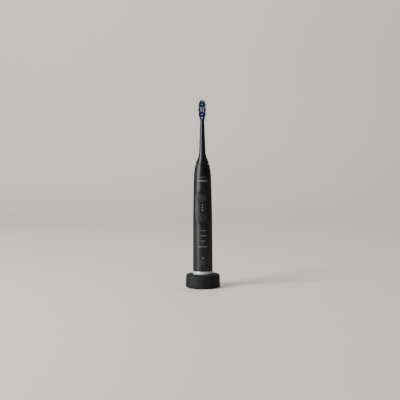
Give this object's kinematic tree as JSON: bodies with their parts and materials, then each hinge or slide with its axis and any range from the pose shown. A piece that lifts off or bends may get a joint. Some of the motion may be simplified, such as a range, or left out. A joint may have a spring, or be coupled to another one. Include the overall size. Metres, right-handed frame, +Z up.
{
  "type": "electric toothbrush on charger",
  "caption": "Slim round electric toothbrush with a thumb pad, round push buttons, light ring and pull-off brush head, standing on a low round charging puck with a centre post.",
  "frame": {"origin": "bottom centre of the charger, on the table plane", "axes": "+Z up along the handle's axis, -Y towards the front, where the buttons and the bristles are, +X to the right seen from the front"},
  "size_m": [0.049, 0.049, 0.2642],
  "materials": {
    "handle_plastic": "fine matt moulded plastic",
    "charger_plastic": "fine matt moulded plastic",
    "soft_rubber": "soft satin rubber",
    "button_rubber": "soft satin rubber",
    "seal_rubber": "smooth rubber",
    "head_plastic": "satin moulded plastic",
    "silver_ring": "satin silver",
    "light_pipe": "frosted clear plastic",
    "bristle_white": "nylon filament",
    "bristle_blue": "nylon filament",
    "steel": "bright steel",
    "magnet": "nickel plated",
    "lamination": "stacked electrical steel",
    "copper": "enamelled copper wire",
    "bronze": "sintered bronze",
    "ferrite": "ferrite",
    "board_green": "solder mask",
    "chip_black": "moulded epoxy",
    "capacitor_sleeve": "shrink sleeve",
    "led_white": "diode package",
    "frame_plastic": "plain moulded plastic",
    "cell_wrap": "shrink wrap",
    "nickel": "nickel strip",
    "foam": "closed-cell foam"
  },
  "bodies": {
    "charger": {"charger_housing": "charger_plastic", "charger_base": "charger_plastic", "foot_ring": "soft_rubber", "charger_screws": "steel", "cord_gland": "soft_rubber", "charger_board": "board_green", "charger_capacitors": "capacitor_sleeve", "charger_chips": "chip_black", "charger_bobbin": "frame_plastic", "charger_coil": "copper", "charger_core": "ferrite"},
    "handle": {"handle_housing": "handle_plastic", "mode_light_pipes": "light_pipe", "status_light_pipes": "light_pipe", "end_cap": "handle_plastic", "light_ring": "silver_ring", "end_cap_seal": "seal_rubber", "receive_bobbin": "frame_plastic", "receive_coil": "copper", "ring_light_board": "board_green", "ring_lights": "led_white", "button_pad": "soft_rubber", "intensity_lights": "light_pipe", "switch_bodies": "chip_black", "main_board": "board_green", "board_lights": "led_white", "board_chips": "chip_black", "board_screws": "steel", "carrier": "frame_plastic", "battery_cell": "cell_wrap", "battery_tabs": "nickel", "battery_foam": "foam", "motor_frame": "frame_plastic", "stator_core": "lamination", "stator_coil": "copper", "rear_bearing": "bronze", "front_bearing": "bronze", "nose_cap": "handle_plastic", "shaft_seal": "seal_rubber", "nose_seal": "seal_rubber"},
    "drive": {"drive_shaft": "steel", "rotor_magnets": "magnet", "rotor_yoke": "steel", "spring_collar": "steel", "torsion_spring": "steel"},
    "brush_head": {"brush_neck": "head_plastic", "tufts_white": "bristle_white", "tufts_blue": "bristle_blue", "shaft_clip": "steel", "tag_ring": "board_green"},
    "power_button": {"power_button": "button_rubber", "power_plunger": "frame_plastic"},
    "mode_button": {"mode_button": "button_rubber", "mode_plunger": "frame_plastic"}
  },
  "joints": [
    {"name": "handle_lift", "type": "slide", "parent": "charger", "child": "handle", "axis": [0, 0, 1], "range_m": [0, 0.03]},
    {"name": "shaft_sweep", "type": "hinge", "parent": "handle", "child": "drive", "pos_m": [0, 0, 0.15], "axis": [0, 0, 1], "range_deg": [-6, 6], "stiffness_Nm_per_rad": 0.02},
    {"name": "brush_head_pull", "type": "slide", "parent": "drive", "child": "brush_head", "axis": [0, 0, 1], "range_m": [0, 0.03]},
    {"name": "power_button_press", "type": "slide", "parent": "handle", "child": "power_button", "axis": [0, 1, 0], "range_m": [0, 0.0004], "stiffness_N_per_m": 300},
    {"name": "mode_button_press", "type": "slide", "parent": "handle", "child": "mode_button", "axis": [0, 1, 0], "range_m": [0, 0.0004], "stiffness_N_per_m": 300}
  ]
}
